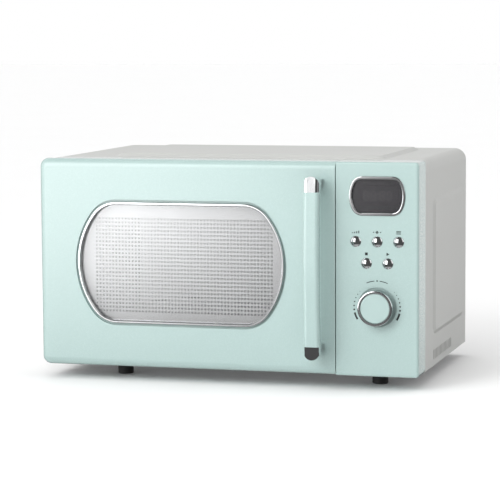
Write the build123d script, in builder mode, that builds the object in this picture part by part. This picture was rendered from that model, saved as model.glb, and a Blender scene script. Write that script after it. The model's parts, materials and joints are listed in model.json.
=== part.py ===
from build123d import *
import math
import os

# A retro countertop microwave oven. +X is to the right seen from the front, -Y is the front, +Z is up.
# The origin is on the worktop, under the middle of the whole object. Millimetres throughout.

# ---------------------------------------------------------------- overall sizes
body_width = 452.0
body_height = 242.5
body_depth = 305.0
front_thickness = 38.0
panel_width = 95.0
seam_gap = 1.0
foot_height = 16.5
handle_reach = 36.0
sheet = 1.0
seat_gap = 0.3

y_front = (handle_reach - body_depth) / 2
y_plate = y_front + front_thickness
y_back = y_front + body_depth
z_base = foot_height
z_top = z_base + body_height
x_right = body_width / 2
x_left = -x_right
panel_left = x_right - panel_width
door_right = panel_left - seam_gap
door_width = door_right - x_left

# ---------------------------------------------------------------- cabinet
side_rise = 2.0
top_rise = 3.5
cabinet_drop = 0.5
cabinet_edge = 14.0
rear_spacer = 6.0
rear_flange = 12.0
plateau_corner = 14.0
plateau_slope = 8.0
top_plateau_left = 70.0
top_plateau_right = 50.0
top_plateau_front = 62.0
top_plateau_back = 40.0
side_plateau_front = 90.0
side_plateau_back = 24.0
side_plateau_top = 43.5
side_plateau_bottom = 34.0
cabinet_side = x_right - side_rise
cabinet_top = z_top - cabinet_drop
y_back_panel = y_back - rear_spacer - sheet
vent_slot = (3.0, 12.0)
vent_pitch = 8.0
side_vent_count = 14
side_vent_y = y_front + 150.0
side_vent_z = z_base + 13.0

# ---------------------------------------------------------------- oven cavity
cavity_left_margin = 26.0
cavity_right_margin = 34.0
cavity_floor_gap = 22.0
cavity_roof_gap = 20.5
cavity_rear_gap = 13.0
cavity_corner = 5.0
cavity_left = x_left + cavity_left_margin
cavity_right = door_right - cavity_right_margin
cavity_width = cavity_right - cavity_left
cavity_x = (cavity_left + cavity_right) / 2
z_floor = z_base + cavity_floor_gap
z_roof = z_top - cavity_roof_gap
cavity_height = z_roof - z_floor
cavity_z = (z_floor + z_roof) / 2
cavity_start = y_plate + sheet
cavity_back = y_back - cavity_rear_gap
cavity_depth = cavity_back - y_plate
cavity_y = (y_plate + cavity_back) / 2
lamp_hole = 1.6
lamp_hole_pitch = 6.0
exhaust_offset = 40.0
exhaust_drop = 26.0
lamp_y = y_plate + 72.0
lamp_z = z_top - 60.0

# ---------------------------------------------------------------- turntable
tray_clearance = 6.0
tray_radius = min(cavity_width, cavity_depth) / 2 - tray_clearance
tray_glass = 5.0
tray_dish_depth = 2.0
tray_dish_radius = 64.0
tray_rim = 12.0
tray_rim_width = 14.0
wheel_radius = 8.0
wheel_width = 8.0
ring_inner = 70.0
ring_outer = 77.0
ring_height = 6.0
wheel_pin = 2.0
pin_fit = 0.05
track_radius = ring_outer + 3.0 + wheel_width / 2
wheel_z = z_floor + seat_gap + wheel_radius
tray_z = z_floor + 2 * wheel_radius + 2 * seat_gap
coupler_radius = 11.0
coupler_reach = 19.0
coupler_lobe = 8.0
coupler_lobe_height = 6.0
shaft_radius = 3.5
shaft_fit = 0.1
motor_radius = 25.0
motor_height = 15.0
tray_rib = (7.5, 20.0, 7.0)
tray_rib_radius = 17.3

# ---------------------------------------------------------------- door
door_edge = 9.0
door_corner = 10.0
door_wall = 3.0
door_face = 5.0
door_rear_gap = 3.5
door_stile = 15.0
stile_round = 3.0
hinge_inset = 9.0
hinge_setback = 19.0
hinge_pin = 3.0
hinge_fit = 0.05
hinge_pin_length = 12.0
hinge_plate = 2.5
hinge_half_width = 5.0
notch_height = 9.0
notch_depth = 26.0
notch_width = 16.0
hinge_x = x_left + hinge_inset
hinge_y = y_plate - hinge_setback
window_left_border = 47.6
window_right_border = 59.2
window_top_border = 49.5
window_bottom_border = 51.5
window_bulge = 32.5
window_corner = 36.0
window_groove = 2.5
window_groove_depth = 3.0
trim_width = 3.5
trim_proud = 1.5
trim_depth = 6.5
trim_slope = (1.2, 2.0)
trim_round = 0.9
piece_gap = 0.15
glass_back = 4.0
glass_thickness = 2.0
screen_back = 12.0
screen_sheet = 0.8
choke_left = x_left + door_stile + 1.0
choke_right = door_right - 24.0
choke_bottom = z_base + 8.0
choke_top = z_top - 8.0
choke_channel = 16.0
choke_lip = 6.0
choke_corner = 5.0
cover_thickness = 2.4
door_seal_gap = 0.8
pane_thickness = 1.5
window_x = (x_left + window_left_border + door_right - window_right_border) / 2
window_z = (z_base + window_bottom_border + z_top - window_top_border) / 2
window_width = door_width - window_left_border - window_right_border
window_height = body_height - window_top_border - window_bottom_border
y_cover = y_plate - door_seal_gap - cover_thickness

# ---------------------------------------------------------------- handle
handle_inset = 19.8
handle_x = door_right - handle_inset
handle_width = 18.2
handle_thickness = 11.0
handle_bow = 4.5
handle_low = z_base + 21.0
handle_high = z_top - 15.0
cap_low = z_base + 36.0
cap_high = z_top - 32.6
handle_round = 4.0
post_width = 12.0
post_height = 10.0
post_low_seat = 0.8
post_high_seat = 3.0
post_low = cap_low - post_height / 2 - post_low_seat
post_high = cap_high + post_height / 2 + post_high_seat
screw_radius = 2.0
screw_bite = 12.0

# ---------------------------------------------------------------- latch and interlock
latch_low = z_base + 90.0
latch_high = z_top - 50.0
latch_travel = 4.0
hook_x = door_right - 14.0
hook_thickness = 4.0
hook_height = 9.0
hook_reach = 14.0
hook_tooth = 3.0
bar_width = 10.0
bar_depth = 12.0
bar_overrun = 20.0
hook_clearance = 1.8
spring_radius = 3.0
spring_wire = 0.8
plunger_travel = 1.2
plunger_width = 4.0
plunger_height = 5.0
plunger_length = 11.0
plunger_fit = 0.1
switch_width = 10.0
switch_length = 24.0
switch_height = 15.0
board_wall = 2.0
board_overrun = 18.0

# ---------------------------------------------------------------- control panel
panel_wall = 2.5
panel_face = 3.0
panel_round = 3.0
panel_x = (panel_left + x_right) / 2
display_drop = 38.1
display_width = 65.0
display_height = 44.7
display_bulge = 8.0
display_corner = 13.0
display_trim_width = 3.6
display_trim_proud = 1.2
display_z = z_top - display_drop
display_x = panel_x
button_radius = 6.0
button_gap = 0.3
button_proud = 2.8
button_travel = 1.2
button_spacing = 24.6
button_row_top = 89.5
button_row_gap = 24.5
button_flange = 1.2
board_back = 16.0
board_thickness = 1.6
tact_height = 2.0
knob_drop = 163.4
knob_radius = 20.2
knob_proud = 13.5
knob_rim_width = 3.0
recess_radius = 22.5
recess_depth = 2.5
encoder_size = 14.0
encoder_depth = 7.0
encoder_bush = 4.5
encoder_shaft_radius = 3.0
knob_z = z_top - knob_drop
knob_x = panel_x
button_top_z = z_top - button_row_top
button_low_z = button_top_z - button_row_gap
y_board = y_front + board_back

# ---------------------------------------------------------------- component bay
bay_left = cavity_right + sheet
bay_right = cabinet_side - sheet
guide_depth = 20.0
guide_length = 84.0
guide_height = 88.0
magnetron_y = y_front + 200.0
magnetron_z = z_top - 84.0
yoke = (60.0, 74.0, 76.0)
yoke_wall = 2.0
fin_count = 7
fin_sheet = 0.8
anode_radius = 20.0
filter_box = (26.0, 58.0, 58.0)
antenna_radius = 8.0
antenna_reach = 13.0
port_width = 60.0
port_height = 34.0
core = (86.0, 52.0, 72.0)
core_leg = 30.0
core_frame = 14.0
coil_thickness = 12.5
coil_height = 19.0
core_wall_gap = 7.0
core_foot_gap = 4.0
core_x = bay_right - core_wall_gap - core[0] / 2
foot_setback = 58.0
foot_front = y_front + foot_setback
core_y = foot_front + core_foot_gap + core[1] / 2
can_width = 50.0
can_height = 32.0
can_length = 84.0
can_x = bay_left + 58.0
can_y = y_front + 193.0
clamp_width = 14.0
clamp_sheet = 1.2
gland_x = x_right - 38.0
gland_z = z_base + 28.0
gland_hole = 7.0
gland_flange = 9.0
gland_bore = 3.5
gland_room = 31.0
filter_width = 80.0
filter_height = 44.0
filter_drop = 40.0
filter_standoff = 8.0
filter_z = z_top - filter_drop
shroud_left = bay_left + 2.0
shroud_right = bay_right - 12.0
shroud_low = gland_z + gland_room
shroud_high = filter_z - filter_height / 2 - 9.5
shroud_wall = 2.0
shroud_rim = 4.5
fan_gap = 2.5
fan_x = (shroud_left + shroud_right) / 2
fan_z = (shroud_low + shroud_high) / 2
shroud_half = min(shroud_right - shroud_left, shroud_high - shroud_low) / 2
fan_radius = shroud_half - shroud_wall - shroud_rim - fan_gap
fan_depth = 18.0
fan_hub = 12.0
fan_blades = 5
fan_pitch = 38.0
shroud_depth = 52.0
fan_motor_size = (48.0, 22.0, 40.0)
fan_shaft = 2.0
foot_radius = 9.25
foot_flange = 11.5
foot_plate = 3.0
foot_peg = 2.8
foot_left = x_left + 85.0
foot_right = x_right - 56.6
foot_rear = y_back - 42.0
foot_places = [(x, y) for y in (foot_front, foot_rear) for x in (foot_left, foot_right)]

os.makedirs("parts", exist_ok=True)


def facing(y):
    """A drawing plane at this depth: its first axis is +X and its second is +Z."""
    return Plane.XZ.offset(-y)


def slab(x_span, y_span, z_span, mode=Mode.ADD):
    """A box between three pairs of limits, in the part being built."""
    spans = (x_span, y_span, z_span)
    with Locations(tuple((low + high) / 2 for low, high in spans)):
        return Box(*[high - low for low, high in spans], mode=mode)


def around(centre, size):
    """The two limits of a size that is centred on a value."""
    return (centre - size / 2, centre + size / 2)


def rod(centre, radius, length, direction, mode=Mode.ADD):
    """A cylinder that starts at a point and runs along a direction, in the part being built."""
    with Locations(Plane(origin=centre, z_dir=direction).location):
        return Cylinder(radius, length, align=(Align.CENTER, Align.CENTER, Align.MIN), mode=mode)


def save(builder, name):
    """Label a finished piece and write it under its own name."""
    builder.part.label = name
    export_step(builder.part, "parts/" + name + ".step")


class Barrel(BaseSketchObject):
    """A rectangle whose two short sides swell outwards as arcs, with rounded corners.

    With an inset, the outline runs that far inside the one that the sizes give.
    """

    def __init__(self, width, height, bulge, corner, inset=0.0, mode=Mode.ADD):
        sweep = (height * height / 4 + bulge * bulge) / (2 * bulge) - inset
        tall = height / 2 - inset
        end = width / 2 - inset
        flat = end - sweep + math.sqrt(sweep * sweep - tall * tall)
        with BuildSketch() as shape:
            with BuildLine():
                top = Line((-flat, tall), (flat, tall))
                ThreePointArc(top @ 1, (end, 0), (flat, -tall))
                bottom = Line((flat, -tall), (-flat, -tall))
                ThreePointArc(bottom @ 1, (-end, 0), top @ 0)
            make_face()
            fillet(shape.vertices(), radius=corner - inset)
        super().__init__(obj=shape.sketch, rotation=0, align=None, mode=mode)


class Arch(BaseSketchObject):
    """An upright rectangle with its two top corners rounded, standing on its lower edge."""

    def __init__(self, half_width, low, high, corner, mode=Mode.ADD):
        with BuildSketch() as shape:
            with Locations((0, (low + high) / 2)):
                Rectangle(2 * half_width, high - low)
            fillet(shape.vertices().group_by(Axis.Y)[-1], radius=corner)
        super().__init__(obj=shape.sketch, rotation=0, align=None, mode=mode)


# ================================================================ cabinet
def top_plateau(lift, shrink):
    """The raised field of the cabinet's top, or with shrink the hollow under it."""
    low_x, high_x = x_left + top_plateau_left + shrink, x_right - top_plateau_right - shrink
    low_y, high_y = y_front + top_plateau_front + shrink, y_back - top_plateau_back - shrink
    with BuildSketch(Plane.XY.offset(cabinet_top - sheet - lift)) as field:
        with Locations(((low_x + high_x) / 2, (low_y + high_y) / 2)):
            RectangleRounded(high_x - low_x, high_y - low_y, plateau_corner)
    return field.sketch


def side_plateau(side, shrink):
    """The raised field of one side wall, or with shrink the hollow behind it."""
    low_y, high_y = y_front + side_plateau_front + shrink, y_back - side_plateau_back - shrink
    low_z, high_z = z_base + side_plateau_bottom + shrink, z_top - side_plateau_top - shrink
    plane = Plane(origin=(side * (cabinet_side - sheet), 0, 0), x_dir=(0, side, 0), z_dir=(side, 0, 0))
    with BuildSketch(plane) as field:
        with Locations((side * (low_y + high_y) / 2, (low_z + high_z) / 2)):
            RectangleRounded(high_y - low_y, high_z - low_z, plateau_corner)
    return field.sketch


top_taper = math.degrees(math.atan(plateau_slope / (top_rise + sheet)))
side_taper = math.degrees(math.atan(plateau_slope / (side_rise + sheet)))
with BuildPart() as outer_cabinet:
    with BuildSketch(facing(y_plate)):
        Arch(cabinet_side, z_base, cabinet_top, cabinet_edge)
    extrude(amount=-(y_back_panel + sheet - y_plate))
    extrude(top_plateau(0, 0), amount=top_rise + sheet, taper=top_taper)
    for side in (-1, 1):
        extrude(side_plateau(side, 0), amount=side_rise + sheet, taper=side_taper)
    with BuildSketch(facing(y_plate)):
        Arch(cabinet_side - sheet, z_base - sheet, cabinet_top - sheet, cabinet_edge - sheet)
    extrude(amount=-(y_back_panel - sheet - y_plate), mode=Mode.SUBTRACT)
    with BuildSketch(facing(y_back_panel - sheet)):
        Arch(cabinet_side - rear_flange, z_base - sheet, cabinet_top - rear_flange, sheet)
    extrude(amount=-sheet, mode=Mode.SUBTRACT)
    with BuildSketch(facing(y_back_panel)):
        Arch(cabinet_side - sheet, z_base - sheet, cabinet_top - sheet, cabinet_edge - sheet)
    extrude(amount=-2 * sheet, mode=Mode.SUBTRACT)
    extrude(top_plateau(sheet, sheet), amount=top_rise + sheet, taper=top_taper, mode=Mode.SUBTRACT)
    for side in (-1, 1):
        extrude(side_plateau(side, sheet), amount=side_rise, taper=side_taper, mode=Mode.SUBTRACT)
    with BuildSketch(Plane.YZ.offset(cabinet_side)):
        with Locations((side_vent_y, side_vent_z)):
            with GridLocations(vent_pitch, 0, side_vent_count, 1):
                SlotOverall(vent_slot[1], vent_slot[0], rotation=90)
    extrude(amount=-3 * sheet, mode=Mode.SUBTRACT)
    flange_screws = [(side * (cabinet_side - rear_flange / 2), y_back_panel, z)
                     for side in (-1, 1) for z in (z_base + 40.0, cabinet_top - 60.0)]
    flange_screws += [(x, y_back_panel, cabinet_top - rear_flange / 2) for x in (x_left / 2, x_right / 2)]
    for spot in flange_screws:
        rod((spot[0], y_back_panel - 2 * sheet, spot[2]), screw_radius, 3 * sheet, (0, 1, 0), Mode.SUBTRACT)
save(outer_cabinet, "outer_cabinet")

pan_drop = 5.0
pan_lip = 8.0
pan_well = (200.0, 150.0)
well_slots = (12.0, 60.0, 9, 2)
bay_slots = (10.0, 40.0, 5, 2)
slot_width = 4.0
pan_half = cabinet_side - sheet - piece_gap
with BuildPart() as base_plate:
    slab((-pan_half, pan_half), (cavity_start, y_back_panel - sheet), (z_base, z_base + sheet))
    for side in (-1, 1):
        lip = sorted((side * pan_half, side * (pan_half - sheet)))
        slab(lip, (cavity_start, y_back_panel - 2 * sheet), (z_base, z_base + pan_lip))
    slab(around(cavity_x, pan_well[0]), around(cavity_y, pan_well[1]), (z_base - pan_drop, z_base))
    slab(around(cavity_x, pan_well[0] - 2 * sheet), around(cavity_y, pan_well[1] - 2 * sheet),
         (z_base - pan_drop + sheet, z_base + 2 * sheet), Mode.SUBTRACT)
    with BuildSketch(Plane.XY.offset(z_base - pan_drop)):
        with Locations((cavity_x, cavity_y)):
            with GridLocations(*well_slots):
                SlotOverall(30.0, slot_width, rotation=90)
    extrude(amount=3 * sheet, mode=Mode.SUBTRACT)
    with BuildSketch(Plane.XY.offset(z_base)):
        with Locations((core_x, can_y)):
            with GridLocations(*bay_slots):
                SlotOverall(24.0, slot_width, rotation=90)
    extrude(amount=3 * sheet, mode=Mode.SUBTRACT)
    for x, y in foot_places:
        rod((x, y, z_base - sheet), foot_peg + piece_gap, 3 * sheet, (0, 0, 1), Mode.SUBTRACT)
save(base_plate, "base_plate")

fan_slots = (9.0, 26.0, 9, 3)
exhaust_slots = (9.0, 22.0, 14, 2)
spacer_radius = 9.0
spacer_inset = 60.0
spacer_drop = 34.0
with BuildPart() as back_panel:
    with BuildSketch(facing(y_back_panel)):
        Arch(cabinet_side - sheet - piece_gap, z_base, cabinet_top - sheet - piece_gap, cabinet_edge - sheet)
    extrude(amount=-sheet)
    for x in (x_left + spacer_inset, x_right - spacer_inset):
        rod((x, y_back_panel + sheet, z_top - spacer_drop), spacer_radius, rear_spacer, (0, 1, 0))
    chamfer(back_panel.faces().sort_by(Axis.Y)[-1].edges(), length=2.0)
    with BuildSketch(facing(y_back_panel)):
        with Locations((fan_x, fan_z)):
            with GridLocations(*fan_slots):
                SlotOverall(20.0, slot_width, rotation=90)
        with Locations((cavity_x + exhaust_offset, z_roof - exhaust_drop)):
            with GridLocations(*exhaust_slots):
                SlotOverall(16.0, slot_width, rotation=90)
    extrude(amount=-2 * sheet, mode=Mode.SUBTRACT)
    rod((gland_x, y_back_panel - sheet, gland_z), gland_hole, 3 * sheet, (0, 1, 0), Mode.SUBTRACT)
    for spot in flange_screws:
        rod((spot[0], y_back_panel - sheet, spot[2]), screw_radius, 3 * sheet, (0, 1, 0), Mode.SUBTRACT)
save(back_panel, "back_panel")

screw_head = 3.6
screw_head_height = 2.2
with BuildPart() as cabinet_screws:
    for spot in flange_screws:
        rod((spot[0], y_back_panel + sheet, spot[2]), screw_head, screw_head_height, (0, 1, 0))
        rod((spot[0], y_back_panel - 6 * sheet, spot[2]), screw_radius - piece_gap, 7 * sheet, (0, 1, 0))
    heads = cabinet_screws.faces().group_by(Axis.Y)[-1]
    fillet(heads.edges(), radius=1.2)
save(cabinet_screws, "cabinet_screws")

with BuildPart() as cable_gland:
    rod((gland_x, y_back_panel - 5.0, gland_z), gland_hole - piece_gap, 9.0, (0, 1, 0))
    rod((gland_x, y_back_panel - 5.0, gland_z), gland_flange, 5.0, (0, 1, 0))
    rod((gland_x, y_back_panel + sheet, gland_z), gland_flange, 3.0, (0, 1, 0))
    rod((gland_x, y_back_panel - 10.0, gland_z), gland_bore, 20.0, (0, 1, 0), Mode.SUBTRACT)
save(cable_gland, "cable_gland")

with BuildPart() as rubber_feet:
    for x, y in foot_places:
        rod((x, y, 0), foot_radius, foot_height - foot_plate, (0, 0, 1))
        rod((x, y, foot_height - foot_plate), foot_flange, foot_plate, (0, 0, 1))
    chamfer(rubber_feet.faces().group_by(Axis.Z)[0].edges(), length=1.0)
    for x, y in foot_places:
        rod((x, y, foot_height - sheet), foot_peg, 3 * sheet, (0, 0, 1))
save(rubber_feet, "rubber_feet")

# ================================================================ oven cavity
with BuildPart() as oven_cavity:
    with BuildSketch(facing(cavity_start)):
        with Locations((cavity_x, cavity_z)):
            RectangleRounded(cavity_width + 2 * sheet, cavity_height + 2 * sheet, cavity_corner + sheet)
            RectangleRounded(cavity_width, cavity_height, cavity_corner, mode=Mode.SUBTRACT)
    extrude(amount=-(cavity_back - cavity_start))
    rod((cavity_x, cavity_y, z_floor - 2 * sheet), shaft_radius + 1.0, 3 * sheet, (0, 0, 1), Mode.SUBTRACT)
    slab((cavity_right - sheet, cavity_right + 2 * sheet), around(magnetron_y, port_width),
         around(magnetron_z, port_height), Mode.SUBTRACT)
    with BuildSketch(Plane.YZ.offset(cavity_right - sheet)):
        with Locations((lamp_y, lamp_z)):
            with GridLocations(lamp_hole_pitch, lamp_hole_pitch, 4, 4):
                Circle(lamp_hole)
    extrude(amount=3 * sheet, mode=Mode.SUBTRACT)
    with BuildSketch(facing(cavity_back + pin_fit)):
        with Locations((cavity_x, cavity_z)):
            RectangleRounded(cavity_width + 2 * sheet, cavity_height + 2 * sheet, cavity_corner + sheet)
        with Locations((cavity_x + exhaust_offset, z_roof - exhaust_drop)):
            with GridLocations(lamp_hole_pitch, lamp_hole_pitch, 8, 4):
                Circle(lamp_hole, mode=Mode.SUBTRACT)
    extrude(amount=-(sheet - pin_fit))
save(oven_cavity, "oven_cavity")

hinge_tab_x = (hinge_x + 1.0, hinge_x + 10.0)
hinge_plate_z = {"upper": z_top - notch_height / 2, "lower": z_base + notch_height / 2}
hook_slot_x = around(hook_x, hook_thickness + 2 * hook_clearance)


def hook_slot_z(z):
    """The slot's height for one latch hook, with room for its tooth and its travel."""
    below = hook_height / 2 + hook_tooth + hook_clearance
    above = hook_height / 2 + latch_travel + hook_clearance
    return (z - below, z + above)


with BuildPart() as front_plate:
    with BuildSketch(facing(y_plate)):
        Arch(cabinet_side - sheet - piece_gap, z_base + sheet, cabinet_top - sheet - piece_gap,
             cabinet_edge - sheet)
        with Locations((cavity_x, cavity_z)):
            RectangleRounded(cavity_width, cavity_height, cavity_corner, mode=Mode.SUBTRACT)
        with Locations((panel_x, cavity_z)):
            RectangleRounded(panel_width - 20.0, cavity_height, 4.0, mode=Mode.SUBTRACT)
    extrude(amount=-sheet)
    for z in (latch_low, latch_high):
        slab(hook_slot_x, (y_plate - sheet, y_plate + 2 * sheet), hook_slot_z(z), Mode.SUBTRACT)
    for z in hinge_plate_z.values():
        slab((hinge_tab_x[0] - piece_gap, hinge_tab_x[1] + piece_gap), (y_plate - sheet, y_plate + 2 * sheet),
             around(z, hinge_plate + 2 * piece_gap), Mode.SUBTRACT)
save(front_plate, "front_plate")

with BuildPart() as waveguide:
    guide_y = around(magnetron_y, guide_length)
    guide_z = around(magnetron_z, guide_height)
    slab((bay_left, bay_left + guide_depth), guide_y, guide_z)
    slab((bay_left - sheet, bay_left + guide_depth - sheet), (guide_y[0] + sheet, guide_y[1] - sheet),
         (guide_z[0] + sheet, guide_z[1] - sheet), Mode.SUBTRACT)
    rod((bay_left + guide_depth - 2 * sheet, magnetron_y, magnetron_z), antenna_radius + 3.0, 4 * sheet,
        (1, 0, 0), Mode.SUBTRACT)
save(waveguide, "waveguide")

with BuildPart() as waveguide_cover:
    slab((cavity_right - 0.8, cavity_right), around(magnetron_y, port_width + 24.0),
         around(magnetron_z, port_height + 20.0))
    fillet(waveguide_cover.edges().filter_by(Axis.X), radius=4.0)
save(waveguide_cover, "waveguide_cover")

# ================================================================ turntable drive and tray
with BuildPart() as turntable_motor:
    motor_top = z_floor - sheet
    rod((cavity_x, cavity_y, motor_top - motor_height), motor_radius, motor_height, (0, 0, 1))
    for side in (-1, 1):
        slab(around(cavity_x + side * (motor_radius + 5.0), 16.0), around(cavity_y, 12.0),
             (motor_top - 2.0, motor_top))
    rod((cavity_x, cavity_y, motor_top - motor_height + 3.0), shaft_radius + shaft_fit, motor_height,
        (0, 0, 1), Mode.SUBTRACT)
    slab(around(cavity_x, 20.0), (cavity_y - motor_radius - 8.0, cavity_y - motor_radius + 4.0),
         (motor_top - motor_height + 2.0, motor_top - 4.0))
save(turntable_motor, "turntable_motor")

with BuildPart() as turntable_coupler:
    coupler_top = tray_z - seat_gap
    stem_low = z_floor - sheet - motor_height + 3.5
    rod((cavity_x, cavity_y, stem_low), shaft_radius, coupler_top - stem_low, (0, 0, 1))
    rod((cavity_x, cavity_y, z_floor + 1.0), coupler_radius, coupler_top - z_floor - 1.0, (0, 0, 1))
    for turn in range(3):
        arm = Location((cavity_x, cavity_y, coupler_top), (0, 0, 120.0 * turn))
        with Locations(arm):
            Box(coupler_reach, coupler_lobe, coupler_lobe_height, align=(Align.MIN, Align.CENTER, Align.MAX))
save(turntable_coupler, "turntable_coupler")

flat = tray_radius - tray_rim_width
dish_top = tray_z + tray_dish_depth
with BuildPart() as glass_tray:
    with BuildSketch(Plane.XZ):
        with BuildLine():
            Polyline((flat, tray_z), (tray_radius, tray_z + tray_rim - tray_glass),
                     (tray_radius, tray_z + tray_rim), (tray_radius - 2.5, tray_z + tray_rim),
                     (flat - 1.5, tray_z + tray_glass), (0, tray_z + tray_glass), (0, dish_top),
                     (tray_dish_radius - tray_dish_depth, dish_top), (tray_dish_radius, tray_z), close=True)
        make_face()
    revolve(axis=Axis.Z)
    for turn in range(3):
        with Locations(Location((0, 0, dish_top), (0, 0, 60.0 + 120.0 * turn))):
            with Locations((tray_rib_radius, 0, 0)):
                Box(*tray_rib, align=(Align.CENTER, Align.CENTER, Align.MAX))
glass_tray.part = glass_tray.part.moved(Location((cavity_x, cavity_y, 0)))
save(glass_tray, "glass_tray")

pin_end = track_radius + wheel_width / 2 + seat_gap
wheel_angles = {"a": 90.0, "b": 210.0, "c": 330.0}
with BuildPart() as roller_ring:
    with Locations((cavity_x, cavity_y, wheel_z)):
        Cylinder(ring_outer, ring_height)
        Cylinder(ring_inner, 2 * ring_height, mode=Mode.SUBTRACT)
    for angle in wheel_angles.values():
        out = Vector(math.cos(math.radians(angle)), math.sin(math.radians(angle)), 0)
        centre = Vector(cavity_x, cavity_y, wheel_z)
        rod(centre + out * (ring_outer - 2.0), wheel_pin, pin_end + 2.0 - ring_outer + 2.0, out)
        rod(centre + out * (ring_outer - 2.0), wheel_pin + 1.5, 4.7, out)
        rod(centre + out * pin_end, wheel_pin + 1.0, 2.0, out)
save(roller_ring, "roller_ring")

for letter, angle in wheel_angles.items():
    out = Vector(math.cos(math.radians(angle)), math.sin(math.radians(angle)), 0)
    start = Vector(cavity_x, cavity_y, wheel_z) + out * (track_radius - wheel_width / 2)
    with BuildPart() as roller_wheel:
        rod(start, wheel_radius, wheel_width, out)
        fillet(roller_wheel.edges(), radius=1.2)
        rod(start - out, wheel_pin + pin_fit, wheel_width + 2.0, out, Mode.SUBTRACT)
    save(roller_wheel, "roller_wheel_" + letter)

# ================================================================ door
with BuildPart() as door_frame:
    door_back = y_plate - door_rear_gap
    slab((x_left, door_right), (y_front, door_back), (z_base, z_top))
    left_corners = door_frame.edges().filter_by(Axis.Y).group_by(Axis.X)[0]
    fillet(left_corners, radius=door_corner)
    face_edges = door_frame.faces().sort_by(Axis.Y)[0].edges()
    fillet(face_edges.sort_by(Axis.X)[:-1], radius=door_edge)
    back_edges = door_frame.faces().sort_by(Axis.Y)[-1].edges()
    fillet(back_edges.sort_by(Axis.X)[:1], radius=stile_round)
    hollow_low, hollow_high = z_base + door_wall, z_top - door_wall
    slab((x_left + door_stile, door_right - door_wall), (y_front + door_face, door_back + 1.0),
         (hollow_low + door_edge / 2, hollow_high - door_edge / 2), Mode.SUBTRACT)
    slab((x_left + door_stile, door_right - door_wall), (y_front + door_edge + 1.0, door_back + 1.0),
         (hollow_low, hollow_high), Mode.SUBTRACT)
    with BuildSketch(facing(y_front - 1.0)):
        with Locations((window_x, window_z)):
            Barrel(window_width, window_height, window_bulge, window_corner)
    extrude(amount=-2 * door_edge, mode=Mode.SUBTRACT)
    with BuildSketch(facing(y_front - 1.0)):
        with Locations((window_x, window_z)):
            Barrel(window_width, window_height, window_bulge, window_corner, -window_groove)
    extrude(amount=-(window_groove_depth + 1.0), mode=Mode.SUBTRACT)
    for z, up in ((z_top, -1), (z_base, 1)):
        notch = sorted((z - up, z + up * notch_height))
        slab((x_left - 1.0, x_left + notch_width), (y_plate - notch_depth, y_plate + 1.0), notch,
             Mode.SUBTRACT)
        rod((hinge_x, hinge_y, z), hinge_pin + hinge_fit, notch_height + hinge_pin_length, (0, 0, up),
            Mode.SUBTRACT)
    for z in (post_low, post_high):
        rod((handle_x, y_front - 1.0, z), screw_radius, 2 * door_edge, (0, 1, 0), Mode.SUBTRACT)
save(door_frame, "door_frame")

with BuildPart() as window_trim:
    with BuildSketch(facing(y_front - trim_proud)):
        with Locations((window_x, window_z)):
            Barrel(window_width, window_height, window_bulge, window_corner, piece_gap)
            Barrel(window_width, window_height, window_bulge, window_corner, trim_width, Mode.SUBTRACT)
    extrude(amount=-(trim_proud + trim_depth))
    trim_rims = window_trim.faces().sort_by(Axis.Y)[0].wires().sort_by(SortBy.LENGTH)
    chamfer(trim_rims[0].edges(), length=trim_slope[0], length2=trim_slope[1],
            reference=window_trim.faces().sort_by(Axis.Y)[0])
    outer_rim = window_trim.faces().sort_by(Axis.Y)[0].wires().sort_by(SortBy.LENGTH)[-1]
    fillet(outer_rim.edges(), radius=trim_round)
save(window_trim, "window_trim")

with BuildPart() as window_glass:
    with BuildSketch(facing(y_front + glass_back)):
        with Locations((window_x, window_z)):
            Barrel(window_width, window_height, window_bulge, window_corner, trim_width + piece_gap)
    extrude(amount=-glass_thickness)
save(window_glass, "window_glass")

screen_x = (choke_left + choke_channel, choke_right - choke_channel)
screen_z = (choke_bottom + choke_channel, choke_top - choke_channel)
y_screen = y_front + screen_back
with BuildPart() as door_screen:
    slab(screen_x, (y_screen, y_screen + screen_sheet), screen_z)
    fillet(door_screen.edges().filter_by(Axis.Y), radius=choke_corner)
save(door_screen, "door_screen")

with BuildPart() as choke_frame:
    pan_front = y_screen + screen_sheet
    slab((choke_left, choke_right), (pan_front, y_cover), (choke_bottom, choke_top))
    fillet(choke_frame.edges().filter_by(Axis.Y), radius=choke_corner)
    slab((choke_left + sheet, choke_right - sheet), (pan_front + sheet, y_cover + 1.0),
         (choke_bottom + sheet, choke_top - sheet), Mode.SUBTRACT)
    slab(screen_x, (pan_front, y_cover), screen_z)
    slab((screen_x[0] + sheet, screen_x[1] - sheet), (pan_front - 1.0, y_cover - sheet),
         (screen_z[0] + sheet, screen_z[1] - sheet), Mode.SUBTRACT)
    slab((screen_x[0] + choke_lip, screen_x[1] - choke_lip), (pan_front, y_cover + 1.0),
         (screen_z[0] + choke_lip, screen_z[1] - choke_lip), Mode.SUBTRACT)
save(choke_frame, "choke_frame")

cover_x = (choke_left, door_right - door_wall - piece_gap)
cover_z = (z_base + door_wall + piece_gap, z_top - door_wall - piece_gap)
pane_edge = 2.0
with BuildPart() as choke_cover:
    slab(cover_x, (y_cover, y_cover + cover_thickness), cover_z)
    slab((screen_x[0] + pane_edge, screen_x[1] - pane_edge), (y_cover - 1.0, y_plate),
         (screen_z[0] + pane_edge, screen_z[1] - pane_edge), Mode.SUBTRACT)
    notch_clear = x_left + notch_width
    for z in (cover_z[0], cover_z[1]):
        slab((choke_left - 1.0, notch_clear), (y_cover - 1.0, y_plate), around(z, 2 * notch_height),
             Mode.SUBTRACT)
    for z in (latch_low, latch_high):
        slab(hook_slot_x, (y_cover - 1.0, y_plate),
             (z - hook_height / 2 - hook_clearance, z + hook_height / 2 + latch_travel + hook_clearance),
             Mode.SUBTRACT)
save(choke_cover, "choke_cover")

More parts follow.
